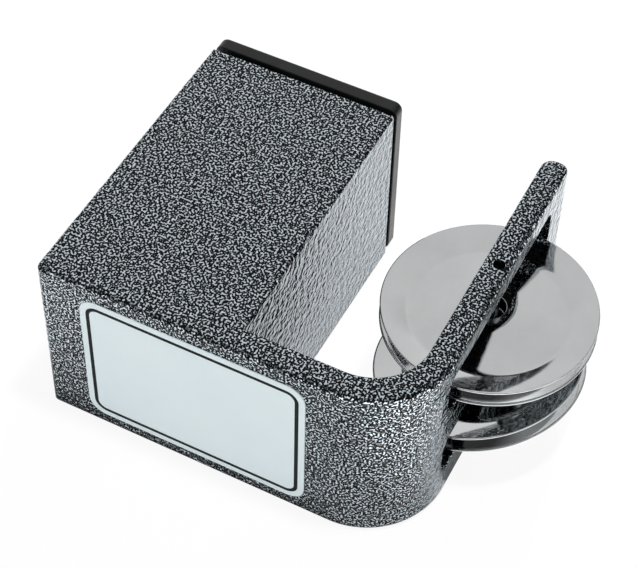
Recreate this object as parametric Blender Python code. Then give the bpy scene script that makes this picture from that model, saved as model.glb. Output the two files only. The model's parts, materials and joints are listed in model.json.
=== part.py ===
# Percussion shaker: a square steel tube with loose shot inside, closed at the front
# by a flat bar that bends back into an arm. Two slots in the arm hold two pairs of
# loose steel jingles on one upright pin. A plastic cap closes the tube at the back.
# Metres, +Z up, +X towards the arm, +Y towards the cap. It rests on Z = 0.
import math

import bmesh
import bpy
from mathutils import Matrix, Vector

MM = 0.001

# Square tube
TUBE_SIDE = 50.0 * MM
TUBE_WALL = 2.0 * MM
TUBE_CORNER = 1.0 * MM
TUBE_INNER_CORNER = 0.5 * MM
TUBE_LENGTH = 74.3 * MM

# Flat bar, across the front of the tube and round the bend into the arm
BAR_THICK = 6.35 * MM
BAR_EDGE = 1.3 * MM
ARM_REACH = 94.6 * MM
BEND_RADIUS = 20.0 * MM
ARM_POST = 9.8 * MM
ARM_END_INNER_ROUND = 3.0 * MM
ARM_END_OUTER_ROUND = 1.6 * MM
WELD_GAP = 0.05 * MM

# Slots in the arm, one above the other
SLOT_HEIGHT = 11.8 * MM
SLOT_CORNER = 3.0 * MM
TOP_RAIL = 6.0 * MM
BOTTOM_RAIL = 9.5 * MM
SLOT_FRONT_ROOM = 4.6 * MM
SLOT_BACK_ROOM = 2.8 * MM
SLOT_IN_BEND = 2.0 * MM

# Pin, pressed into the arm and sunk below its upper and lower edge
PIN_RADIUS = 1.3 * MM
PIN_FIT = 0.05 * MM
PIN_SUNK = 3.4 * MM

# Jingles: pressed discs with a flat hub, a shallow cone down to a round valley,
# and an outer band that turns up again to a rounded lip
JINGLE_RADIUS = 25.3 * MM
JINGLE_SHEET = 0.5 * MM
HOLE_ROOM = 2.4 * MM
HUB_WIDTH = 2.6 * MM
HUB_RISE = 0.12 * MM
HUB_EASE = 1.2 * MM
VALLEY_DEPTH = 1.75 * MM
VALLEY_EASE = 2.6 * MM
BAND_WIDTH = 6.8 * MM
LIP_WIDTH = 0.85 * MM
LIP_RISE = 0.2 * MM
LIP_EASE = 0.5 * MM
PAIR_GAP = 0.25 * MM
REST_GAP = 0.3 * MM
# How far each pair hangs off the pin's axis, as shares of the room in the hole
UPPER_HANG = (0.15, 0.69)
LOWER_HANG = (0.50, 0.62)
# The lower pair leans, and lies below the middle of its slot
LOWER_DROP = 0.9 * MM
LOWER_LEAN = math.radians(11.3)

# Plastic cap: a flange outside the tube and a ribbed plug inside
CAP_FLANGE = 4.4 * MM
CAP_SEAT = 0.8 * MM
CAP_EASE = 0.4 * MM
CAP_CORNER = 2.2 * MM
CAP_ROUND = 0.9 * MM
CAP_PLUG = 12.0 * MM
CAP_WALL = 2.0 * MM
CAP_FIT = 0.8 * MM
RIB_FIT = 0.1 * MM
RIB_WIDTH = 1.5 * MM
RIB_COUNT = 3

# Label on the front of the bar
LABEL_THICK = 0.25 * MM
LABEL_CORNER = 4.5 * MM
LABEL_LEFT = 11.0 * MM
LABEL_RIGHT_ROOM = 6.1 * MM
LABEL_BOTTOM = 2.7 * MM
LABEL_TOP_ROOM = 4.6 * MM
LABEL_GAP = 0.02 * MM

# Loose shot: rows of balls on the floor of the tube, each row at its own share of its travel
SHOT_RADIUS = 2.5 * MM
SHOT_GAP = 0.3 * MM
SHOT_FLOOR_GAP = 0.1 * MM
SHOT_PER_ROW = 4
ROW_PLACES = (0.16, 0.58, 0.30, 0.78, 0.44, 0.06)

# Facets
CORNER_STEPS = 4
BEND_STEPS = 20
LABEL_STEPS = 6
HOLE_STEPS = 24
EDGE_STEPS = 3
PRESS_STEPS = 2
JINGLE_STEPS = 48
BALL_STEPS = (12, 8)
SHARP_ANGLE = math.radians(33)
NEAR = 0.01 * MM

# Fitted values
BAR_HEIGHT = TUBE_SIDE
TUBE_FRONT = BAR_THICK + WELD_GAP
TUBE_BACK = TUBE_FRONT + TUBE_LENGTH
ARM_INNER = ARM_REACH - BAR_THICK
ARM_MIDDLE = ARM_REACH - BAR_THICK / 2
SLOT_FRONT = BEND_RADIUS - SLOT_IN_BEND
SLOT_BACK = SLOT_FRONT + SLOT_FRONT_ROOM + 2 * JINGLE_RADIUS + SLOT_BACK_ROOM
ARM_BACK = SLOT_BACK + ARM_POST
LOWER_SLOT = (BOTTOM_RAIL, BOTTOM_RAIL + SLOT_HEIGHT)
UPPER_SLOT = (BAR_HEIGHT - TOP_RAIL - SLOT_HEIGHT, BAR_HEIGHT - TOP_RAIL)
JINGLE_HOLE = PIN_RADIUS + HOLE_ROOM
JINGLE_HUB = JINGLE_HOLE + HUB_WIDTH
PIN_Y = SLOT_FRONT + SLOT_FRONT_ROOM + JINGLE_RADIUS + UPPER_HANG[1] * HOLE_ROOM
# The origin lies under the middle of the tube's lower face
ORIGIN = Vector((TUBE_SIDE / 2, (TUBE_FRONT + TUBE_BACK) / 2, 0.0))


def material(name, colour, metallic, roughness):
    mat = bpy.data.materials.new(name)
    mat.use_nodes = True
    shader = mat.node_tree.nodes["Principled BSDF"]
    shader.inputs["Base Color"].default_value = (*colour, 1.0)
    shader.inputs["Metallic"].default_value = metallic
    shader.inputs["Roughness"].default_value = roughness
    return mat


def shade(mesh):
    mesh.polygons.foreach_set("use_smooth", [True] * len(mesh.polygons))
    mesh.set_sharp_from_angle(angle=SHARP_ANGLE)


def add_object(name, bm, mat, place=None):
    # place is the matrix of the piece's own frame; its vertices are given in that frame
    bmesh.ops.recalc_face_normals(bm, faces=bm.faces)
    mesh = bpy.data.meshes.new(name)
    bm.to_mesh(mesh)
    bm.free()
    mesh.materials.append(mat)
    shade(mesh)
    obj = bpy.data.objects.new(name, mesh)
    bpy.context.scene.collection.objects.link(obj)
    frame = Matrix.Identity(4) if place is None else place
    obj.matrix_world = Matrix.Translation(-ORIGIN) @ frame
    return obj


def arc(centre, radius, start, stop, steps):
    points = []
    for i in range(steps + 1):
        angle = math.radians(start + (stop - start) * i / steps)
        points.append((centre[0] + radius * math.cos(angle), centre[1] + radius * math.sin(angle)))
    return points


def circle(centre, radius):
    return arc(centre, radius, 0, 360, HOLE_STEPS)[:-1]


def rounded_rectangle(u0, v0, u1, v1, radius, steps):
    points = []
    points += arc((u1 - radius, v0 + radius), radius, -90, 0, steps)
    points += arc((u1 - radius, v1 - radius), radius, 0, 90, steps)
    points += arc((u0 + radius, v1 - radius), radius, 90, 180, steps)
    points += arc((u0 + radius, v0 + radius), radius, 180, 270, steps)
    return points


def eased_line(corners, steps):
    # a line through (u, v, ease) corners, each inner corner replaced by a short curve
    points = [Vector(corners[0][:2])]
    for before, corner, after in zip(corners, corners[1:], corners[2:]):
        middle = Vector(corner[:2])
        start = middle + (Vector(before[:2]) - middle).normalized() * corner[2]
        stop = middle + (Vector(after[:2]) - middle).normalized() * corner[2]
        for i in range(steps + 1):
            t = i / steps
            points.append(start.lerp(middle, t).lerp(middle.lerp(stop, t), t))
    points.append(Vector(corners[-1][:2]))
    return points


def loft(loops, closed_ring=False):
    # loops of equal length joined in turn; ends capped, or the last joined to the first
    bm = bmesh.new()
    rings = [[bm.verts.new(p) for p in loop] for loop in loops]
    pairs = list(zip(rings, rings[1:]))
    if closed_ring:
        pairs.append((rings[-1], rings[0]))
    for a, b in pairs:
        for i in range(len(a)):
            j = (i + 1) % len(a)
            bm.faces.new((a[i], a[j], b[j], b[i]))
    if not closed_ring:
        bm.faces.new(rings[0])
        bm.faces.new(rings[-1])
    return bm


def upright_prism(outline, z0, z1):
    return loft([[(x, y, z) for x, y in outline] for z in (z0, z1)])


def square_loop(half, radius, y):
    # an upright rounded square about the tube's axis at the given y
    mid = TUBE_SIDE / 2
    points = rounded_rectangle(mid - half, mid - half, mid + half, mid + half, radius, CORNER_STEPS)
    return [(x, y, z) for x, z in points]


def cut(obj, cutters):
    for cutter in cutters:
        mod = obj.modifiers.new("cut", "BOOLEAN")
        mod.object = cutter
        mod.operation = "DIFFERENCE"
        mod.solver = "EXACT"
    graph = bpy.context.evaluated_depsgraph_get()
    mesh = bpy.data.meshes.new_from_object(obj.evaluated_get(graph))
    obj.modifiers.clear()
    uncut = obj.data
    obj.data = mesh
    bpy.data.meshes.remove(uncut)
    mesh.name = obj.name
    shade(mesh)
    for cutter in cutters:
        bpy.data.objects.remove(cutter)


def make_tube(paint):
    outer = TUBE_SIDE / 2
    inner = outer - TUBE_WALL
    loops = [
        square_loop(outer, TUBE_CORNER, TUBE_FRONT),
        square_loop(outer, TUBE_CORNER, TUBE_BACK),
        square_loop(inner, TUBE_INNER_CORNER, TUBE_BACK),
        square_loop(inner, TUBE_INNER_CORNER, TUBE_FRONT),
    ]
    add_object("shaker_tube", loft(loops, closed_ring=True), paint)


def bar_outline():
    # seen from above: front face, bend, arm with its rounded end, and back along the inside
    bend = (ARM_REACH - BEND_RADIUS, BEND_RADIUS)
    outer, inner = ARM_END_OUTER_ROUND, ARM_END_INNER_ROUND
    points = [(0.0, 0.0)]
    points += arc(bend, BEND_RADIUS, -90, 0, BEND_STEPS)
    points += arc((ARM_REACH - outer, ARM_BACK - outer), outer, 0, 90, CORNER_STEPS)
    points += arc((ARM_INNER + inner, ARM_BACK - inner), inner, 90, 180, CORNER_STEPS)
    points += arc(bend, BEND_RADIUS - BAR_THICK, 0, -90, BEND_STEPS)
    points += [(TUBE_SIDE, BAR_THICK), (0.0, BAR_THICK)]
    return points


def slot_cutter(slot, scrap):
    outline = rounded_rectangle(SLOT_FRONT, slot[0], SLOT_BACK, slot[1], SLOT_CORNER, CORNER_STEPS)
    sides = (ARM_INNER - BAR_THICK, ARM_REACH + BAR_THICK)
    return add_object("slot_cutter", loft([[(x, y, z) for y, z in outline] for x in sides]), scrap)


def make_bar(paint):
    bm = upright_prism(bar_outline(), 0.0, BAR_HEIGHT)
    # ease the upright front corner, and the upper and lower edges all round apart from
    # the line welded to the tube
    eased = []
    for edge in bm.edges:
        a, b = (v.co for v in edge.verts)
        middle = (a + b) / 2
        level = abs(a.z - b.z) < NEAR
        welded = middle.x < TUBE_SIDE and abs(middle.y - BAR_THICK) < NEAR
        front_corner = middle.x < NEAR and middle.y < NEAR
        if front_corner or (level and not welded):
            eased.append(edge)
    bmesh.ops.bevel(bm, geom=eased, offset=BAR_EDGE, segments=EDGE_STEPS, profile=0.5, affect="EDGES")
    bar = add_object("jingle_bar", bm, paint)

    # two slots through the arm, and the pin's hole through all three rails
    hole = circle((ARM_MIDDLE, PIN_Y), PIN_RADIUS + PIN_FIT)
    hole_solid = upright_prism(hole, -BAR_THICK, BAR_HEIGHT + BAR_THICK)
    cutters = [slot_cutter(slot, paint) for slot in (LOWER_SLOT, UPPER_SLOT)]
    cutters.append(add_object("hole_cutter", hole_solid, paint))
    cut(bar, cutters)


def make_cap(plastic):
    front = TUBE_BACK + CAP_SEAT
    back = front + CAP_FLANGE
    tip = TUBE_BACK - CAP_PLUG
    half = TUBE_SIDE / 2
    bore = half - TUBE_WALL
    core = bore - CAP_FIT
    hollow = core - CAP_WALL
    # flange, from the rounded back edge to the seat on the tube's end
    loops = []
    for reach, rise in arc((0.0, 0.0), CAP_ROUND, 90, 0, EDGE_STEPS):
        drop = CAP_ROUND - reach
        loops.append(square_loop(half - drop, CAP_CORNER - drop, back - CAP_ROUND + rise))
    loops.append(square_loop(half, CAP_CORNER, front + CAP_EASE))
    loops.append(square_loop(half - CAP_EASE, CAP_CORNER, front))
    loops.append(square_loop(core, TUBE_CORNER, front))
    # plug with its ribs, then the hollow inside it
    pitch = CAP_PLUG / (RIB_COUNT + 1)
    for i in range(RIB_COUNT):
        crest = TUBE_BACK - pitch * (i + 1)
        loops.append(square_loop(core, TUBE_CORNER, crest + RIB_WIDTH / 2))
        loops.append(square_loop(bore - RIB_FIT, TUBE_CORNER, crest))
        loops.append(square_loop(core, TUBE_CORNER, crest - RIB_WIDTH / 2))
    loops.append(square_loop(core, TUBE_CORNER, tip))
    loops.append(square_loop(hollow, TUBE_CORNER, tip))
    loops.append(square_loop(hollow, TUBE_CORNER, front))
    add_object("end_cap", loft(loops), plastic)


def make_label(film):
    right = ARM_REACH - BEND_RADIUS - LABEL_RIGHT_ROOM
    top = BAR_HEIGHT - LABEL_TOP_ROOM
    outline = rounded_rectangle(LABEL_LEFT, LABEL_BOTTOM, right, top, LABEL_CORNER, LABEL_STEPS)
    faces = (-LABEL_GAP, -LABEL_GAP - LABEL_THICK)
    add_object("front_label", loft([[(x, y, z) for x, z in outline] for y in faces]), film)


def make_pin(steel):
    rod = upright_prism(circle((0.0, 0.0), PIN_RADIUS), PIN_SUNK, BAR_HEIGHT - PIN_SUNK)
    add_object("jingle_pin", rod, steel, Matrix.Translation((ARM_MIDDLE, PIN_Y, 0.0)))


def jingle_section():
    # outline of the sheet from hole to rim and back, with its lowest point at zero
    top_side = eased_line([
        (JINGLE_HOLE, HUB_RISE),
        (JINGLE_HUB, HUB_RISE, HUB_EASE),
        (JINGLE_RADIUS - BAND_WIDTH, -VALLEY_DEPTH, VALLEY_EASE),
        (JINGLE_RADIUS - LIP_WIDTH, LIP_RISE, LIP_EASE),
        (JINGLE_RADIUS, 0.0),
    ], PRESS_STEPS)
    lift = JINGLE_SHEET - min(p.y for p in top_side)
    upper = [(p.x, p.y + lift) for p in top_side]
    under = [(r, z - JINGLE_SHEET) for r, z in reversed(upper)]
    return upper + under


def make_jingle(name, steel, pair_z, hang, lean, faces_up):
    bm = bmesh.new()
    verts = [bm.verts.new((r, 0.0, PAIR_GAP / 2 + z)) for r, z in jingle_section()]
    edges = [bm.edges.new(ends) for ends in zip(verts, verts[1:] + verts[:1])]
    bmesh.ops.spin(
        bm, geom=verts + edges, cent=(0, 0, 0), axis=(0, 0, 1),
        angle=math.tau, steps=JINGLE_STEPS, use_merge=True,
    )
    x = ARM_MIDDLE - hang[0] * HOLE_ROOM
    y = PIN_Y - hang[1] * HOLE_ROOM
    place = Matrix.Translation((x, y, pair_z)) @ Matrix.Rotation(-lean, 4, "Y")
    if not faces_up:
        place = place @ Matrix.Rotation(math.pi, 4, "Y")
    add_object(name, bm, steel, place)


def make_jingles(steel):
    # two discs back to back make a pair; the upper pair rests on the web between the slots
    pair_half = PAIR_GAP / 2 + max(z for r, z in jingle_section())
    upper_z = UPPER_SLOT[0] + REST_GAP + pair_half
    lower_z = (LOWER_SLOT[0] + LOWER_SLOT[1]) / 2 - LOWER_DROP
    make_jingle("upper_jingle_top", steel, upper_z, UPPER_HANG, 0.0, True)
    make_jingle("upper_jingle_bottom", steel, upper_z, UPPER_HANG, 0.0, False)
    make_jingle("lower_jingle_top", steel, lower_z, LOWER_HANG, LOWER_LEAN, True)
    make_jingle("lower_jingle_bottom", steel, lower_z, LOWER_HANG, LOWER_LEAN, False)


def make_shot(steel):
    pitch = 2 * SHOT_RADIUS + SHOT_GAP
    row_length = 2 * SHOT_RADIUS + pitch * (SHOT_PER_ROW - 1)
    chamber = TUBE_LENGTH - CAP_PLUG
    travel = chamber - 2 * SHOT_GAP - row_length
    lane = (TUBE_SIDE - 2 * TUBE_WALL) / len(ROW_PLACES)
    z = TUBE_WALL + SHOT_FLOOR_GAP + SHOT_RADIUS
    for row, share in enumerate(ROW_PLACES):
        x = TUBE_WALL + lane * (row + 0.5)
        first = TUBE_FRONT + SHOT_GAP + SHOT_RADIUS + share * travel
        for i in range(SHOT_PER_ROW):
            bm = bmesh.new()
            around, along = BALL_STEPS
            bmesh.ops.create_uvsphere(bm, u_segments=around, v_segments=along, radius=SHOT_RADIUS)
            place = Matrix.Translation((x, first + i * pitch, z))
            add_object(f"shot_{row + 1}_{i + 1}", bm, steel, place)


for old in list(bpy.data.objects):
    bpy.data.objects.remove(old)

hammered_paint = material("hammered_paint", (0.16, 0.17, 0.18), 0.6, 0.35)
black_plastic = material("black_plastic", (0.028, 0.028, 0.03), 0.0, 0.5)
label_film = material("label_film", (0.70, 0.77, 0.79), 0.0, 0.5)
pin_steel = material("pin_steel", (0.45, 0.46, 0.48), 1.0, 0.35)
polished_steel = material("polished_steel", (0.72, 0.73, 0.74), 1.0, 0.08)
shot_steel = material("shot_steel", (0.50, 0.51, 0.53), 1.0, 0.3)

make_tube(hammered_paint)
make_bar(hammered_paint)
make_cap(black_plastic)
make_label(label_film)
make_pin(pin_steel)
make_jingles(polished_steel)
make_shot(shot_steel)
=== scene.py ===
import bpy
import bmesh
import json
import math
from mathutils import Matrix, Vector

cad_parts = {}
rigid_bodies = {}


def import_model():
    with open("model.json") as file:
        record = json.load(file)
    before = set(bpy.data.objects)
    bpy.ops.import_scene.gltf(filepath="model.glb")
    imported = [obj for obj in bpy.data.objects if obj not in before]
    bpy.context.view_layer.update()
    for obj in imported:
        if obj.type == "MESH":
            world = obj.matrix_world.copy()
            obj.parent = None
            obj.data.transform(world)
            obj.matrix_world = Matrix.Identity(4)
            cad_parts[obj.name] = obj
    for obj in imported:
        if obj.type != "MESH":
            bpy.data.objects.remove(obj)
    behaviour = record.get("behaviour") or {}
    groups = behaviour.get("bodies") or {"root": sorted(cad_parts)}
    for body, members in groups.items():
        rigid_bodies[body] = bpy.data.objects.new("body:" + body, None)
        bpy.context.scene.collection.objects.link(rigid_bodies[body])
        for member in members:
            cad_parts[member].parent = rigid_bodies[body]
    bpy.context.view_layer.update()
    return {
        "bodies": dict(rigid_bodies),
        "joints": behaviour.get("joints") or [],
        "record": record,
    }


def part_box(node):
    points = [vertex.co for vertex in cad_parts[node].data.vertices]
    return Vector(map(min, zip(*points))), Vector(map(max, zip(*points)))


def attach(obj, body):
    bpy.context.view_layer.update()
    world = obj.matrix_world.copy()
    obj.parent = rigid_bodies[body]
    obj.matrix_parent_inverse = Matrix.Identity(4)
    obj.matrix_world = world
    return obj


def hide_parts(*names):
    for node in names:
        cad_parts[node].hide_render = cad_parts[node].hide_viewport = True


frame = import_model()
scene = bpy.context.scene
mm = 0.001
white = (1.0, 1.0, 1.0, 1.0)


# corners of a solid in millimetres
def cornersOf(node):
    low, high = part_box(node)
    return low / mm, high / mm


def between(first, last, share):
    return first + (last - first) * share


# points on an arc, angles in degrees
def arcPoints(cx, cy, radius, start, stop, steps):
    turns = [math.radians(start + (stop - start) * i / steps) for i in range(steps + 1)]
    return [(cx + radius * math.cos(t), cy + radius * math.sin(t)) for t in turns]


# level ring of points round an upright axis
def levelRing(cx, cy, radius, z, steps):
    return [(x, y, z) for x, y in arcPoints(cx, cy, radius, 0, 360, steps)[:-1]]


def roundedRectangle(left, low, right, high, radius, steps=8):
    points = []
    for cx, cy, start in ((right - radius, high - radius, 0), (left + radius, high - radius, 90),
                          (left + radius, low + radius, 180), (right - radius, low + radius, 270)):
        points += arcPoints(cx, cy, radius, start, start + 90, steps)
    return points


# quarter round seen from the face it breaks: (depth below the face, width it takes off)
def roundOver(radius, steps):
    turns = [math.radians(90.0 * i / steps) for i in range(steps + 1)]
    return [(radius * (1 - math.cos(t)), radius * (1 - math.sin(t))) for t in turns]


# line through (u, v, ease) corners, each inner corner eased into a short curve
def easedLine(corners, steps):
    points = [Vector(corners[0][:2])]
    for before, corner, after in zip(corners, corners[1:], corners[2:]):
        middle = Vector(corner[:2])
        enter = middle + (Vector(before[:2]) - middle).normalized() * corner[2]
        leave = middle + (Vector(after[:2]) - middle).normalized() * corner[2]
        for i in range(steps + 1):
            t = i / steps
            points.append(enter.lerp(middle, t).lerp(middle.lerp(leave, t), t))
    return points + [Vector(corners[-1][:2])]


def joinRings(bm, ring, after):
    for i in range(len(ring)):
        j = (i + 1) % len(ring)
        bm.faces.new((ring[i], ring[j], after[j], after[i]))


# skin through a row of equal loops, closed at both ends
def skinLoops(loops):
    bm = bmesh.new()
    rings = [[bm.verts.new(Vector(p) * mm) for p in loop] for loop in loops]
    for ring, after in zip(rings, rings[1:]):
        joinRings(bm, ring, after)
    bm.faces.new(list(reversed(rings[0])))
    bm.faces.new(rings[-1])
    bmesh.ops.recalc_face_normals(bm, faces=bm.faces)
    return bm


# skin through a round of equal loops, the last joined to the first
def skinRound(loops):
    bm = bmesh.new()
    rings = [[bm.verts.new(Vector(p) * mm) for p in loop] for loop in loops]
    for ring, after in zip(rings, rings[1:] + rings[:1]):
        joinRings(bm, ring, after)
    bmesh.ops.recalc_face_normals(bm, faces=bm.faces)
    return bm


# closed (radius, height) section turned about the upright axis
def turnSection(section, steps):
    turns = arcPoints(0, 0, 1.0, 0, 360, steps)[:-1]
    return skinRound([[(r * c, r * s, z) for r, z in section] for c, s in turns])


def meshObject(name, bm):
    mesh = bpy.data.meshes.new(name)
    bm.to_mesh(mesh)
    bm.free()
    obj = bpy.data.objects.new(name, mesh)
    scene.collection.objects.link(obj)
    return obj


# turns the modifiers into plain mesh
def bakeModifiers(obj):
    baked = bpy.data.meshes.new_from_object(obj.evaluated_get(bpy.context.evaluated_depsgraph_get()))
    old = obj.data
    obj.modifiers.clear()
    obj.data = baked
    bpy.data.meshes.remove(old)


def cutAway(obj, cutters):
    for cutter in cutters:
        cut = obj.modifiers.new("cut", "BOOLEAN")
        cut.operation = "DIFFERENCE"
        cut.solver = "EXACT"
        cut.object = cutter
    bakeModifiers(obj)
    for cutter in cutters:
        spare = cutter.data
        bpy.data.objects.remove(cutter)
        bpy.data.meshes.remove(spare)


# smooth faces with crisp flats: sharp edges kept above an angle, normals weighted by area
def smoothFaces(obj, sharpAngle):
    obj.data.shade_smooth()
    obj.data.set_sharp_from_angle(angle=math.radians(sharpAngle))
    weighted = obj.modifiers.new("flat faces stay flat", "WEIGHTED_NORMAL")
    weighted.keep_sharp = True
    weighted.weight = 80


def finishPiece(obj, finish, body, slot, *nodes):
    obj.data.materials.clear()
    obj.data.materials.append(finish)
    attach(obj, body)
    if nodes:
        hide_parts(*nodes)
    return obj


# finishes

def newFinish(name):
    finish = bpy.data.materials.new(name)
    finish.use_nodes = True
    tree = finish.node_tree
    return finish, tree, tree.nodes["Principled BSDF"]


# adds a node; a value that is a socket is linked, anything else is set
def addNode(tree, kind, values, **settings):
    node = tree.nodes.new(kind)
    for key, value in settings.items():
        setattr(node, key, value)
    setInputs(tree, node, values)
    return node


def setInputs(tree, node, values):
    for key, value in values.items():
        if isinstance(value, bpy.types.NodeSocket):
            tree.links.new(value, node.inputs[key])
        else:
            node.inputs[key].default_value = value


def placeOf(tree):
    return addNode(tree, "ShaderNodeTexCoord", {}).outputs["Object"]


def noiseOf(tree, place, scale, detail=2.0, roughness=0.5, distortion=0.0):
    values = {"Vector": place, "Scale": scale, "Detail": detail,
              "Roughness": roughness, "Distortion": distortion}
    return addNode(tree, "ShaderNodeTexNoise", values).outputs["Fac"]


def spread(tree, value, fromLow, fromHigh, toLow, toHigh, smooth=False):
    values = {"Value": value, "From Min": fromLow, "From Max": fromHigh, "To Min": toLow, "To Max": toHigh}
    kind = "SMOOTHSTEP" if smooth else "LINEAR"
    return addNode(tree, "ShaderNodeMapRange", values, interpolation_type=kind).outputs["Result"]


def mathOf(tree, operation, first, second):
    return addNode(tree, "ShaderNodeMath", {0: first, 1: second}, operation=operation).outputs[0]


# the mix node keeps its sockets for numbers and for colours apart, so they go by place
def mixNumbers(tree, share, first, second):
    return addNode(tree, "ShaderNodeMix", {0: share, 2: first, 3: second}, data_type="FLOAT").outputs[0]


def mixColours(tree, share, first, second):
    return addNode(tree, "ShaderNodeMix", {0: share, 6: first, 7: second}, data_type="RGBA").outputs[2]


# bump from a height in millimetres
def bumpOf(tree, height):
    bump = addNode(tree, "ShaderNodeBump", {"Height": height, "Strength": 1.0, "Distance": mm})
    return bump.outputs["Normal"]


# colour and roughness follow one noise, the relief another
def weather(tree, shader, p, clouds, grain):
    worn = spread(tree, clouds, *p["wornSpan"], 0.0, 1.0)
    setInputs(tree, shader, {
        "Base Color": mixColours(tree, worn, p["colour"], p["worn"]),
        "Roughness": spread(tree, clouds, *p["roughSpan"], p["roughLow"], p["roughHigh"]),
        "Normal": bumpOf(tree, mathOf(tree, "MULTIPLY", grain, p["relief"])),
    })


# black enamel crossed by a fine net of silver worms, under a lacquer that shows at a glancing angle
hammeredPaint = dict(
    wormScale=1930.0, wormDetail=0.4, wormLow=0.565, wormHigh=0.605,
    patches=0.007, patchScale=160.0, patchSpan=(0.3, 0.7), shineScale=520.0, shineSpan=(0.35, 0.65),
    black=(0.003, 0.0038, 0.0045, 1.0), silver=(0.62, 0.695, 0.74, 1.0), dullSilver=(0.50, 0.56, 0.60, 1.0),
    roughBlack=0.05, roughSilver=0.12, gloss=1.17,
    relief=0.02, rippleScale=600.0, rippleWarp=0.3, rippleRelief=0.80,
    lacquerFrom=0.50, lacquerFull=0.72, lacquer=1.0, lacquerGloss=1.8, lacquerRough=0.03,
    lacquerTint=(0.26, 0.37, 0.44, 1.0),
)


def makeHammeredPaint():
    finish, tree, shader = newFinish("hammered paint")
    p = hammeredPaint
    place = placeOf(tree)
    flat = addNode(tree, "ShaderNodeUVMap", {}, uv_map="paint").outputs["UV"]
    worms = addNode(tree, "ShaderNodeTexNoise",
                    {"Vector": flat, "Scale": p["wormScale"], "Detail": p["wormDetail"]},
                    noise_dimensions="2D").outputs["Fac"]
    patches = noiseOf(tree, place, p["patchScale"], detail=1.0)
    patches = spread(tree, patches, *p["patchSpan"], -p["patches"], p["patches"])
    net = spread(tree, mathOf(tree, "ADD", worms, patches), p["wormLow"], p["wormHigh"], 0.0, 1.0, True)
    # painted shade: no silver on the pin hole's wall, so the hole renders black as if in shade
    reach = addNode(tree, "ShaderNodeAttribute", {}, attribute_name="paintedHoleShade").outputs["Fac"]
    net = mathOf(tree, "MULTIPLY", net, reach)
    shine = spread(tree, noiseOf(tree, place, p["shineScale"]), *p["shineSpan"], 0.0, 1.0)
    silver = mixColours(tree, shine, p["dullSilver"], p["silver"])
    ripples = noiseOf(tree, place, p["rippleScale"], detail=1.0, distortion=p["rippleWarp"])
    waves = mathOf(tree, "MULTIPLY", ripples, p["rippleRelief"])
    relief = mathOf(tree, "ADD", mathOf(tree, "MULTIPLY", worms, p["relief"]), waves)
    glance = addNode(tree, "ShaderNodeLayerWeight", {}).outputs["Facing"]
    setInputs(tree, shader, {
        "Base Color": mixColours(tree, net, p["black"], silver),
        "Metallic": net,
        "Roughness": spread(tree, net, 0.0, 1.0, p["roughBlack"], p["roughSilver"]),
        "IOR": p["gloss"],
        "Normal": bumpOf(tree, relief),
        "Coat Weight": spread(tree, glance, p["lacquerFrom"], p["lacquerFull"], 0.0, p["lacquer"], True),
        "Coat Roughness": p["lacquerRough"],
        "Coat IOR": p["lacquerGloss"],
        "Coat Tint": p["lacquerTint"],
        "Coat Normal": bumpOf(tree, waves),
    })
    return finish


blackPlastic = dict(
    colour=(0.006, 0.0063, 0.0067, 1.0), worn=(0.011, 0.0114, 0.0120, 1.0), wornSpan=(0.35, 0.7), gloss=1.36,
    cloudScale=130.0, grainScale=2600.0, roughSpan=(0.3, 0.7), roughLow=0.27, roughHigh=0.37, relief=0.006,
)


def makeBlackPlastic():
    finish, tree, shader = newFinish("moulded black plastic")
    p = blackPlastic
    place = placeOf(tree)
    clouds = noiseOf(tree, place, p["cloudScale"], detail=4.0, roughness=0.6)
    weather(tree, shader, p, clouds, noiseOf(tree, place, p["grainScale"]))
    setInputs(tree, shader, {"IOR": p["gloss"]})
    return finish


labelFilm = dict(
    colour=(0.697, 0.793, 0.824, 1.0), worn=(0.722, 0.814, 0.840, 1.0), wornSpan=(0.35, 0.65), gloss=1.45,
    cloudScale=45.0, grainScale=1900.0, roughSpan=(0.3, 0.7), roughLow=0.34, roughHigh=0.46, relief=0.006,
)
labelInk = dict(
    colour=(0.006, 0.007, 0.0075, 1.0), worn=(0.012, 0.013, 0.014, 1.0), wornSpan=(0.35, 0.65), gloss=1.16,
    cloudScale=800.0, grainScale=1900.0, roughSpan=(0.3, 0.7), roughLow=0.38, roughHigh=0.5, relief=0.006,
)


def makePrintedFilm(name, p):
    finish, tree, shader = newFinish(name)
    place = placeOf(tree)
    clouds = noiseOf(tree, place, p["cloudScale"], detail=3.0)
    weather(tree, shader, p, clouds, noiseOf(tree, place, p["grainScale"]))
    setInputs(tree, shader, {"IOR": p["gloss"]})
    return finish


# bright plated sheet: faint turning marks round the disc and a soft haze
polishedSteel = dict(
    colour=(0.600, 0.612, 0.616, 1.0), worn=(0.545, 0.556, 0.562, 1.0), wornSpan=(0.35, 0.7),
    hazeScale=70.0, ringScale=1500.0, roughSpan=(0.3, 0.75), roughLow=0.045, roughHigh=0.10, relief=0.0025,
)


def makePolishedSteel():
    finish, tree, shader = newFinish("polished plate")
    p = polishedSteel
    place = placeOf(tree)
    flat = addNode(tree, "ShaderNodeVectorMath", {0: place, 1: (1.0, 1.0, 0.0)}, operation="MULTIPLY")
    radius = addNode(tree, "ShaderNodeVectorMath", {0: flat.outputs[0]}, operation="LENGTH").outputs["Value"]
    ringPlace = addNode(tree, "ShaderNodeCombineXYZ", {"X": radius}).outputs[0]
    rings = noiseOf(tree, ringPlace, p["ringScale"], detail=3.0, roughness=0.6)
    haze = noiseOf(tree, place, p["hazeScale"], detail=5.0, roughness=0.6)
    weather(tree, shader, p, haze, rings)
    setInputs(tree, shader, {"Metallic": 1.0})
    return finish


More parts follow.
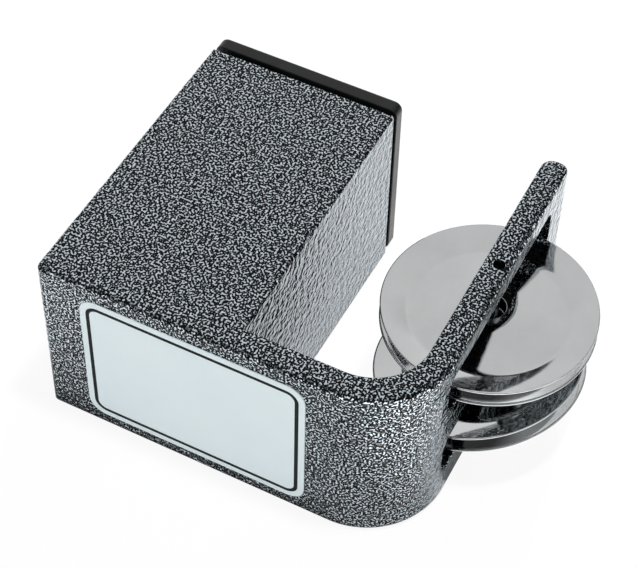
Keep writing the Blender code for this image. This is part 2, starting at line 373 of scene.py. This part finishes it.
drawnSteel = dict(
    colour=(0.42, 0.43, 0.45, 1.0), worn=(0.52, 0.53, 0.55, 1.0), wornSpan=(0.35, 0.7),
    scratch=(2200.0, 2200.0, 90.0), roughSpan=(0.3, 0.7), roughLow=0.22, roughHigh=0.4, relief=0.006,
)
shotSteel = dict(
    colour=(0.44, 0.45, 0.47, 1.0), worn=(0.55, 0.56, 0.58, 1.0), wornSpan=(0.35, 0.7),
    scratch=(900.0, 900.0, 900.0), roughSpan=(0.3, 0.7), roughLow=0.2, roughHigh=0.42, relief=0.006,
)


def makePlainSteel(name, p):
    finish, tree, shader = newFinish(name)
    drawn = addNode(tree, "ShaderNodeVectorMath", {0: placeOf(tree), 1: p["scratch"]}, operation="MULTIPLY")
    marks = noiseOf(tree, drawn.outputs[0], 1.0, detail=3.0, roughness=0.6)
    weather(tree, shader, p, marks, marks)
    setInputs(tree, shader, {"Metallic": 1.0})
    return finish


paint = makeHammeredPaint()
plastic = makeBlackPlastic()
film = makePrintedFilm("label film", labelFilm)
ink = makePrintedFilm("label border ink", labelInk)
plate = makePolishedSteel()
pinSteel = makePlainSteel("drawn pin steel", drawnSteel)
ballSteel = makePlainSteel("shot steel", shotSteel)
print("finishes ready:", len(bpy.data.materials))


# tube and bent bar, welded and ground flush under one coat of paint
paintedBody = dict(
    barThick=6.35, bendRadius=20.0, bendSteps=72, armLean=0.9, tubeWall=2.0,
    endOuterRound=2.3, endInnerRound=3.0, endTaper=12.0, endSteps=14,
    frontEdge=1.5, outerEdge=2.1, tipEdge=0.9, armEdge=0.6, tubeEdge=1.0, sawnEdge=0.3, uprightEdge=1.3,
    edgeSteps=5, sharpAngle=38.0,
    slotFront=-25.55, slotBack=32.45, slotLevels=((9.5, 21.3), (32.2, 44.0)), slotCorner=3.0, slotEdge=0.5,
    pinHole=1.4, pinHoleEdge=0.15, pinHoleEdgeSteps=4, pinHoleSteps=40,
    chamberCorner=0.5, chamberSteps=4, cutRoom=2.0, cutLap=0.02,
    levelFace=0.75, sideShift=150.0,  # the net on the sides lies apart from the net on level faces
)


# middle of the bar's bend, in plan
def bendMiddle():
    low, high = cornersOf("jingle_bar")
    return high.x - paintedBody["bendRadius"], low.y + paintedBody["bendRadius"]


# plan of the body, as (x, y, width of the rounded edge that starts there)
def bodyPlan():
    p = paintedBody
    tubeLow, tubeHigh = cornersOf("shaker_tube")
    barLow, barHigh = cornersOf("jingle_bar")
    bendX, bendY = bendMiddle()
    bend, bendSteps, endSteps = p["bendRadius"], p["bendSteps"], p["endSteps"]
    outer, inner, tip = barHigh.x, barHigh.x - p["barThick"], barHigh.y
    outerRound, innerRound = p["endOuterRound"], p["endInnerRound"]
    outerEdge, tipEdge, armEdge = p["outerEdge"], p["tipEdge"], p["armEdge"]
    plan = [(barLow.x, barLow.y, p["frontEdge"])]
    for k, (x, y) in enumerate(arcPoints(bendX, bendY, bend, -90, 0, bendSteps)):
        plan.append((x, y, between(p["frontEdge"], outerEdge, k / bendSteps)))
    for k in range(endSteps):
        y = tip - outerRound - p["endTaper"] * (1 - k / endSteps)
        plan.append((outer, y, between(outerEdge, tipEdge, k / endSteps)))
    for x, y in arcPoints(outer - outerRound, tip - outerRound, outerRound, 0, 90, endSteps):
        plan.append((x, y, tipEdge))
    innerEnd = arcPoints(inner + innerRound, tip - innerRound, innerRound, 90, 180, endSteps)
    for k, (x, y) in enumerate(innerEnd):
        plan.append((x, y, between(tipEdge, armEdge, k / endSteps)))
    for x, y in arcPoints(bendX, bendY, bend - p["barThick"], 0, -90, bendSteps):
        plan.append((x, y, armEdge))
    # arm bent a shade past square
    reach = tip - bendY
    plan = [(x - p["armLean"] * max(0.0, y - bendY) / reach, y, width) for x, y, width in plan]
    plan.append((tubeHigh.x, barLow.y + p["barThick"], p["tubeEdge"]))
    plan.append((tubeHigh.x, tubeHigh.y, p["sawnEdge"]))
    plan.append((tubeLow.x, tubeHigh.y, p["tubeEdge"]))
    return plan


def bodyBlank():
    p = paintedBody
    plan = bodyPlan()
    top = cornersOf("shaker_tube")[1].z
    widest = max(width for x, y, width in plan)
    bm = bmesh.new()
    weight = bm.edges.layers.float.new("bevel_weight_edge")
    low = [bm.verts.new(Vector((x, y, 0.0)) * mm) for x, y, width in plan]
    high = [bm.verts.new(Vector((x, y, top)) * mm) for x, y, width in plan]
    bm.faces.new(list(reversed(low)))
    bm.faces.new(high)
    for i in range(len(plan)):
        j = (i + 1) % len(plan)
        bm.faces.new((low[i], low[j], high[j], high[i]))
        for ring in (low, high):
            bm.edges.get((ring[i], ring[j]))[weight] = plan[i][2] / widest
    bm.edges.get((low[0], high[0]))[weight] = p["uprightEdge"] / widest
    for k in (-1, -2):  # the tube's back corners
        bm.edges.get((low[k], high[k]))[weight] = p["sawnEdge"] / widest
    blank = meshObject("painted_body", bm)
    bevel = blank.modifiers.new("rounded edges", "BEVEL")
    bevel.limit_method = "WEIGHT"
    bevel.offset_type = "OFFSET"
    bevel.width = widest * mm
    bevel.segments = p["edgeSteps"]
    bevel.use_clamp_overlap = False
    bakeModifiers(blank)
    return blank


# way of a cutter into a face, as (depth, extra width), flared so that the rim comes out rounded
def flaredMouth(edge, steps):
    room, lap = paintedBody["cutRoom"], paintedBody["cutLap"]
    return [(-room, edge + lap), (-lap, edge + lap)] + roundOver(edge, steps)[1:]


def slotCutter(low, high):
    p = paintedBody
    outer = cornersOf("jingle_bar")[1].x
    mouth = flaredMouth(p["slotEdge"], p["edgeSteps"])
    stations = mouth + [(p["barThick"] - depth, wide) for depth, wide in reversed(mouth)]
    loops = []
    for depth, wide in stations:
        rim = roundedRectangle(p["slotFront"] - wide, low - wide, p["slotBack"] + wide, high + wide,
                               p["slotCorner"] + wide)
        loops.append([(outer - depth, y, z) for y, z in rim])
    return meshObject("slot cutter", skinLoops(loops))


def pinHoleCutter():
    p = paintedBody
    middle = sum(cornersOf("jingle_pin"), Vector()) / 2
    top = cornersOf("shaker_tube")[1].z
    mouth = flaredMouth(p["pinHoleEdge"], p["pinHoleEdgeSteps"])
    stations = mouth + [(top - depth, wide) for depth, wide in reversed(mouth)]
    loops = [levelRing(middle.x, middle.y, p["pinHole"] + wide, z, p["pinHoleSteps"]) for z, wide in stations]
    return meshObject("pin hole cutter", skinLoops(loops))


def chamberCutter():
    p = paintedBody
    low, high = cornersOf("shaker_tube")
    wall = p["tubeWall"]
    rim = roundedRectangle(low.x + wall, low.z + wall, high.x - wall, high.z - wall,
                           p["chamberCorner"], p["chamberSteps"])
    ends = (cornersOf("jingle_bar")[0].y + p["barThick"], high.y + p["cutRoom"])
    return meshObject("chamber cutter", skinLoops([[(x, y, z) for x, z in rim] for y in ends]))


# lays the paint's net flat on every face: in plan on level faces, along the bar and upwards on the rest
def unrollPaint(obj):
    p = paintedBody
    bendX, bendY = bendMiddle()
    bend = p["bendRadius"]
    mesh = obj.data
    layer = mesh.uv_layers.new(name="paint")
    # painted shade: faces of the pin hole's wall get 0, so no silver there and the hole reads dark
    reach = mesh.attributes.new("paintedHoleShade", "FLOAT", "FACE")  # the silver stops at the pin hole's mouth
    pinMiddle = sum(cornersOf("jingle_pin"), Vector()) / 2
    for face in mesh.polygons:
        n = face.normal
        fromPin = (face.center / mm - pinMiddle).xy.length
        reach.data[face.index].value = 0.0 if fromPin < p["pinHole"] + p["cutLap"] else 1.0
        for k in face.loop_indices:
            v = mesh.vertices[mesh.loops[k].vertex_index].co / mm
            along, across = v.x, v.z + p["sideShift"]
            if abs(n.z) > p["levelFace"]:
                across = v.y
            elif v.x > bendX and v.y < bendY:
                dx, dy = v.x - bendX, v.y - bendY
                outward = n.x * dx + n.y * dy > 0
                r = bend if outward else bend - p["barThick"]
                along = bendX + r * (math.atan2(dy, dx) + math.pi / 2)
            elif abs(n.x) > abs(n.y):
                along = bendX + bend * math.pi / 2 + v.y - bendY
            layer.data[k].uv = (along * mm, across * mm)


body = bodyBlank()
slotCutters = [slotCutter(*level) for level in paintedBody["slotLevels"]]
cutAway(body, [chamberCutter(), pinHoleCutter()] + slotCutters)
unrollPaint(body)
smoothFaces(body, paintedBody["sharpAngle"])
finishPiece(body, paint, "frame_body", "hammered_paint", "shaker_tube", "jingle_bar")
print("painted body:", len(body.data.polygons), "faces")


# push-in cap: rounded flange, ribbed hollow plug
capMoulding = dict(
    flange=3.7, cornerRound=2.2, backRound=0.9, seatEase=0.3, steps=6, sharpAngle=40.0,
    plugFit=0.8, plugCorner=1.0, wall=2.0, tipEase=0.5,
    ribCount=3, ribWidth=1.5, ribFit=0.1, ribSteps=6,
)


def squareLoop(half, radius, y, middle):
    return [(x, y, z) for x, z in roundedRectangle(-half, middle - half, half, middle + half, radius)]


def makeCap():
    p = capMoulding
    low, high = cornersOf("end_cap")
    back, front, tip = high.y, high.y - p["flange"], low.y
    half, middle = high.x, (low.z + high.z) / 2
    bore = half - paintedBody["tubeWall"]
    core = bore - p["plugFit"]
    hollow = core - p["wall"]
    ease = p["tipEase"]
    loops = [squareLoop(half - wide, p["cornerRound"] - wide, back - depth, middle)
             for depth, wide in roundOver(p["backRound"], p["steps"])]
    loops += [squareLoop(half - wide, p["cornerRound"] - wide, front + depth, middle)
              for depth, wide in reversed(roundOver(p["seatEase"], p["steps"]))]
    plug = [(core, front)]
    seat = cornersOf("shaker_tube")[1].y
    pitch = (seat - tip) / (p["ribCount"] + 1)
    for i in range(p["ribCount"]):
        crest = seat - pitch * (i + 1)
        for k in range(p["ribSteps"] + 1):
            share = k / p["ribSteps"] - 0.5
            swing = math.cos(math.pi * share)  # rib with a round crest
            plug.append((between(core, bore - p["ribFit"], swing), crest - p["ribWidth"] * share))
    plug += [(core, tip + ease), (core - ease, tip), (hollow, tip), (hollow, front)]
    loops += [squareLoop(reach, p["plugCorner"], y, middle) for reach, y in plug]
    cap = meshObject("cap_moulding", skinLoops(loops))
    smoothFaces(cap, p["sharpAngle"])
    return finishPiece(cap, plastic, "frame_body", "black_plastic", "end_cap")


cap = makeCap()
print("cap:", len(cap.data.polygons), "faces")


# bare film on the front of the bar, with a plain printed border
labelPiece = dict(
    corner=4.5, steps=12, edgeRound=0.08, edgeSteps=4, bottomTrim=1.7, sharpAngle=50.0,
    borderInset=1.6, borderWidth=0.98, borderCorner=3.2, inkRise=0.012, inkSink=0.01,
)


def labelLoop(inset, y, corner, low, high):
    rim = roundedRectangle(low.x + inset, low.z + inset, high.x - inset, high.z - inset,
                           corner, labelPiece["steps"])
    return [(x, y, z) for x, z in rim]


def makeLabel():
    p = labelPiece
    low, high = cornersOf("front_label")
    low.z += p["bottomTrim"]  # cut a little short, clear of the bar's lower edge
    loops = [labelLoop(0.0, high.y, p["corner"], low, high)]
    loops += [labelLoop(wide, low.y + depth, p["corner"] - wide, low, high)
              for depth, wide in reversed(roundOver(p["edgeRound"], p["edgeSteps"]))]
    label = meshObject("label_face", skinLoops(loops))
    smoothFaces(label, p["sharpAngle"])
    finishPiece(label, film, "frame_body", "label_film", "front_label")
    # border: a thin closed ring of ink standing on the film
    outside, inside = p["borderInset"], p["borderInset"] + p["borderWidth"]
    under, over = low.y + p["inkSink"], low.y - p["inkRise"]
    loops = [labelLoop(inset, y, p["borderCorner"] + outside - inset, low, high)
             for inset, y in ((outside, under), (outside, over), (inside, over), (inside, under))]
    border = meshObject("label_border", skinRound(loops))
    finishPiece(border, ink, "frame_body", "label_film")
    return label, border


label, border = makeLabel()
print("label:", len(label.data.polygons) + len(border.data.polygons), "faces")


# drawn pin with broken ends, sunk in the arm
pinPiece = dict(chamfer=0.35, bulge=0.3, steps=48, sharpAngle=30.0)


def makePin():
    p = pinPiece
    low, high = cornersOf("jingle_pin")
    middle = (low + high) / 2
    radius = (high.x - low.x) / 2
    c, b = p["chamfer"], p["chamfer"] * p["bulge"]
    end = [(radius - c, 0.0), (radius - b, b), (radius, c)]
    profile = [(r, low.z + depth) for r, depth in end]
    profile += [(r, high.z - depth) for r, depth in reversed(end)]
    pin = meshObject("jingle_rod", skinLoops([levelRing(0, 0, r, z, p["steps"]) for r, z in profile]))
    pin.location = Vector((middle.x, middle.y, 0.0)) * mm
    smoothFaces(pin, p["sharpAngle"])
    return finishPiece(pin, pinSteel, "frame_body", "pin_steel", "jingle_pin")


pin = makePin()
print("pin:", len(pin.data.polygons), "faces")


# pressed discs: flat hub, long fall to a valley, then a raised band, a little round, with a rounded lip
jingleDisc = dict(
    radius=25.3, hole=3.77, hubWidth=3.4, hubRise=0.12, hubEase=0.8, valleyDepth=1.78, valleyEase=1.0,
    bandWidth=6.8, bandCrown=0.09, bandEase=2.0, lipWidth=0.35, lipRise=0.05, lipEase=0.2,
    sheet=0.5, pairGap=0.25, pressSteps=8, turnSteps=180, edgeSteps=6,
)


def discSection():
    p = jingleDisc
    hub, valley, lip = p["hole"] + p["hubWidth"], p["radius"] - p["bandWidth"], p["radius"] - p["lipWidth"]
    crown = (p["lipRise"] - p["valleyDepth"]) / 2 + p["bandCrown"]
    corners = [
        (p["hole"], p["hubRise"]),
        (hub, p["hubRise"], p["hubEase"]),
        (valley, -p["valleyDepth"], p["valleyEase"]),
        ((valley + lip) / 2, crown, p["bandEase"]),
        (lip, p["lipRise"], p["lipEase"]),
        (p["radius"], 0.0),
    ]
    top = easedLine(corners, p["pressSteps"])
    lift = p["sheet"] - min(q.y for q in top) + p["pairGap"] / 2
    half = p["sheet"] / 2
    line = [(q.x, q.y + lift - half) for q in top]  # middle of the sheet
    line[0] = (p["hole"] + half, line[0][1])
    line[-1] = (p["radius"] - half, line[-1][1] + half * p["lipRise"] / p["lipWidth"])
    upper = [(r, z + half) for r, z in line]
    under = [(r, z - half) for r, z in line]
    turns = [math.pi * (0.5 - i / p["edgeSteps"]) for i in range(1, p["edgeSteps"])]
    rim = [(line[-1][0] + half * math.cos(t), line[-1][1] + half * math.sin(t)) for t in turns]
    eye = [(line[0][0] - half * math.cos(t), line[0][1] - half * math.sin(t)) for t in turns]
    return upper + rim + list(reversed(under)) + eye


def makeDisc(name, body, node, centre, axis, faceUp):
    disc = meshObject(name, turnSection(discSection(), jingleDisc["turnSteps"]))
    lean = math.atan2(axis.x, axis.z)
    place = Matrix.Translation(centre * mm) @ Matrix.Rotation(lean, 4, "Y")
    if not faceUp:
        place = place @ Matrix.Rotation(math.pi, 4, "Y")
    disc.matrix_world = place
    disc.data.shade_smooth()
    return finishPiece(disc, plate, body, "polished_steel", node)


def makeDiscs():
    axisOf = {j["child"]: Vector(j["axis"]) for j in frame["joints"]}
    for pair in ("upper", "lower"):
        topLow, topHigh = cornersOf(pair + "_jingle_top")
        underLow, underHigh = cornersOf(pair + "_jingle_bottom")
        centre = (topLow + topHigh + underLow + underHigh) / 4
        axis = axisOf[pair + "_pair_high"]
        makeDisc(pair + "_disc_high", pair + "_pair_high", pair + "_jingle_top", centre, axis, True)
        makeDisc(pair + "_disc_low", pair + "_pair_low", pair + "_jingle_bottom", centre, axis, False)


makeDiscs()


# loose shot: balls with the faint flat band left round them by heading
shotBall = dict(bandWidth=0.5, bandDepth=0.03, turnSteps=28, heightSteps=18)


def ballInto(bm, centre, radius):
    p = shotBall
    rings = []
    for k in range(1, p["heightSteps"]):
        turn = math.pi * (k / p["heightSteps"] - 0.5)
        r, z = radius * math.cos(turn), radius * math.sin(turn)
        if abs(z) < p["bandWidth"] / 2:
            r = min(r, radius - p["bandDepth"])
        rings.append([bm.verts.new((centre + Vector(q)) * mm) for q in levelRing(0, 0, r, z, p["turnSteps"])])
    south = bm.verts.new((centre - Vector((0, 0, radius))) * mm)
    north = bm.verts.new((centre + Vector((0, 0, radius))) * mm)
    for ring, after in zip(rings, rings[1:]):
        joinRings(bm, ring, after)
    for i in range(p["turnSteps"]):
        j = (i + 1) % p["turnSteps"]
        bm.faces.new((south, rings[0][j], rings[0][i]))
        bm.faces.new((north, rings[-1][i], rings[-1][j]))


def makeShotRow(row):
    bm = bmesh.new()
    nodes = frame["record"]["behaviour"]["bodies"][row]
    for node in nodes:
        low, high = cornersOf(node)
        ballInto(bm, (low + high) / 2, (high.z - low.z) / 2)
    bmesh.ops.recalc_face_normals(bm, faces=bm.faces)
    balls = meshObject("balls_" + row[-1], bm)
    balls.data.shade_smooth()
    return finishPiece(balls, ballSteel, row, "shot_steel", *nodes)


shotRows = [makeShotRow(row) for row in sorted(frame["bodies"]) if row.startswith("shot_row")]
print("shot:", len(shotRows), "rows")


# stage: pale floor, even white surroundings, soft lamps
stageSet = dict(
    floorSize=6.0, floorDrop=0.00006, floorColour=0.86, floorWhiteSeen=0.92,
    floorCloud=0.01, floorCloudScale=3.0, floorCloudSpan=(0.3, 0.7),
    # painted reflection: strength and X and Y edges of a glowing floor patch right of the bend, seen only in
    # mirrors
    reflectionGlow=0.85, reflectionEdge=(0.066, 0.095), reflectionBack=(-0.016, 0.004),
    worldLight=0.3, worldLow=1.0, worldHigh=0.81, highFrom=0.85,
    worldSide=0.8, sideSpan=(0.0, 0.35), lowSpan=(0.7, 0.45), worldFront=0.7, frontSpan=(-0.25, -0.6),
)


# 1 for what is seen by way of a mirror, else 0
def mirroredShare(tree, path):
    return mathOf(tree, "MAXIMUM", path["Is Glossy Ray"], path["Is Transmission Ray"])


def makeFloor():
    p = stageSet
    bm = bmesh.new()
    bmesh.ops.create_grid(bm, x_segments=4, y_segments=4, size=p["floorSize"] / 2)
    floor = meshObject("floor", bm)
    floor.location.z = -p["floorDrop"]
    finish = bpy.data.materials.new("pale floor")
    finish.use_nodes = True
    tree = finish.node_tree
    tree.nodes.clear()
    path = addNode(tree, "ShaderNodeLightPath", {}).outputs
    place = placeOf(tree)
    tones = p["floorColour"] - p["floorCloud"], p["floorColour"] + p["floorCloud"]
    tone = spread(tree, noiseOf(tree, place, p["floorCloudScale"]), *p["floorCloudSpan"], *tones)
    matt = addNode(tree, "ShaderNodeBsdfDiffuse", {"Color": tone, "Roughness": 0.5}).outputs[0]
    bright = addNode(tree, "ShaderNodeEmission", {"Color": white, "Strength": 1.0}).outputs[0]
    share = mathOf(tree, "MULTIPLY", path["Is Camera Ray"], p["floorWhiteSeen"])
    mixed = addNode(tree, "ShaderNodeMixShader", {0: share, 1: matt, 2: bright}).outputs[0]
    # glowing white patch of floor on the right, seen only in mirrors: a painted reflection, the floor being
    # no lamp
    spot = addNode(tree, "ShaderNodeSeparateXYZ", {0: place}).outputs
    reflectionPatch = spread(tree, spot["X"], *p["reflectionEdge"], 0.0, p["reflectionGlow"], True)
    reflectionPatch = mathOf(tree, "MULTIPLY", reflectionPatch, spread(tree, spot["Y"], *p["reflectionBack"], 1.0, 0.0, True))
    strength = mathOf(tree, "MULTIPLY", reflectionPatch, mirroredShare(tree, path))
    glow = addNode(tree, "ShaderNodeEmission", {"Color": white, "Strength": strength}).outputs[0]
    both = addNode(tree, "ShaderNodeAddShader", {0: mixed, 1: glow}).outputs[0]
    addNode(tree, "ShaderNodeOutputMaterial", {"Surface": both})
    floor.data.materials.append(finish)
    return floor


def makeWorld():
    p = stageSet
    world = bpy.data.worlds.new("white tent")
    scene.world = world
    world.use_nodes = True
    tree = world.node_tree
    tree.nodes.clear()
    path = addNode(tree, "ShaderNodeLightPath", {}).outputs
    way = addNode(tree, "ShaderNodeTexCoord", {}).outputs["Generated"]
    sides = addNode(tree, "ShaderNodeSeparateXYZ", {0: way}).outputs
    # as the metal mirrors it, the room is dimmer overhead, low down on the right and in front
    tent = spread(tree, sides["Z"], 0.0, p["highFrom"], p["worldLow"], p["worldHigh"], True)
    right = spread(tree, sides["X"], *p["sideSpan"], 0.0, p["worldSide"])
    right = mathOf(tree, "MULTIPLY", right, spread(tree, sides["Z"], *p["lowSpan"], 0.0, 1.0))
    front = spread(tree, sides["Y"], *p["frontSpan"], 0.0, p["worldFront"])
    tent = mathOf(tree, "SUBTRACT", tent, mathOf(tree, "MAXIMUM", right, front))
    level = mixNumbers(tree, mirroredShare(tree, path), p["worldLight"], tent)
    level = mixNumbers(tree, path["Is Camera Ray"], level, 1.0)
    back = addNode(tree, "ShaderNodeBackground", {"Color": white, "Strength": level}).outputs[0]
    addNode(tree, "ShaderNodeOutputWorld", {"Surface": back})


# the table has lamps of its own, so that it is white without more light on the shaker
lamps = (
    dict(name="overhead panel", place=(-0.12, -0.06, 0.75), aim=(0.02, 0.0, 0.02),
         size=0.5, watts=3.4, table="EXCLUDE"),
    dict(name="front panel", place=(-0.25, -0.8, 0.45), aim=(0.02, 0.0, 0.02),
         size=0.7, watts=2.25, table="EXCLUDE"),
    dict(name="table panel", place=(0.16, 0.0, 0.8), aim=(0.02, 0.0, 0.0),
         size=0.08, watts=5.0, table="INCLUDE"),
    dict(name="back table panel", place=(0.034, 0.4, 0.4), aim=(0.034, 0.0, 0.0),
         size=0.1, watts=2.6, table="INCLUDE"),
)


def makeLamps(floor):
    for p in lamps:
        light = bpy.data.lights.new(p["name"], "AREA")
        light.shape = "DISK"
        light.size = p["size"]
        light.energy = p["watts"]
        lamp = bpy.data.objects.new(p["name"], light)
        scene.collection.objects.link(lamp)
        lamp.location = p["place"]
        lamp.rotation_euler = (Vector(p["place"]) - Vector(p["aim"])).to_track_quat("Z", "Y").to_euler()
        lamp.visible_glossy = False
        lamp.visible_camera = False
        lit = bpy.data.collections.new(p["name"] + " table")
        lit.objects.link(floor)
        lit.collection_objects[0].light_linking.link_state = p["table"]
        lamp.light_linking.receiver_collection = lit


floor = makeFloor()
makeWorld()
makeLamps(floor)
print("stage set")


# camera turned about the point it aims at, angles in degrees
cameraSet = dict(
    azimuth=26.32, elevation=49.671, roll=1.51, distance=0.47529, aim=(0.02167, 0.00495, 0.01934),
    lens=110.8, sensor=36.0, near=0.01, far=20.0,
)


def makeCamera():
    p = cameraSet
    a, e, roll = (math.radians(p[key]) for key in ("azimuth", "elevation", "roll"))
    back = Vector((math.sin(a) * math.cos(e), -math.cos(a) * math.cos(e), math.sin(e)))
    right = Vector((math.cos(a), math.sin(a), 0.0))
    up = back.cross(right)
    turnedRight = right * math.cos(roll) + up * math.sin(roll)
    turnedUp = back.cross(turnedRight)
    data = bpy.data.cameras.new("camera")
    data.lens = p["lens"]
    data.sensor_width = p["sensor"]
    data.clip_start, data.clip_end = p["near"], p["far"]
    camera = bpy.data.objects.new("camera", data)
    scene.collection.objects.link(camera)
    spot = Vector(p["aim"]) + back * p["distance"]
    turned = Matrix((turnedRight, turnedUp, back)).transposed().to_4x4()
    camera.matrix_world = Matrix.Translation(spot) @ turned
    scene.camera = camera


makeCamera()
scene.view_settings.view_transform = "Standard"
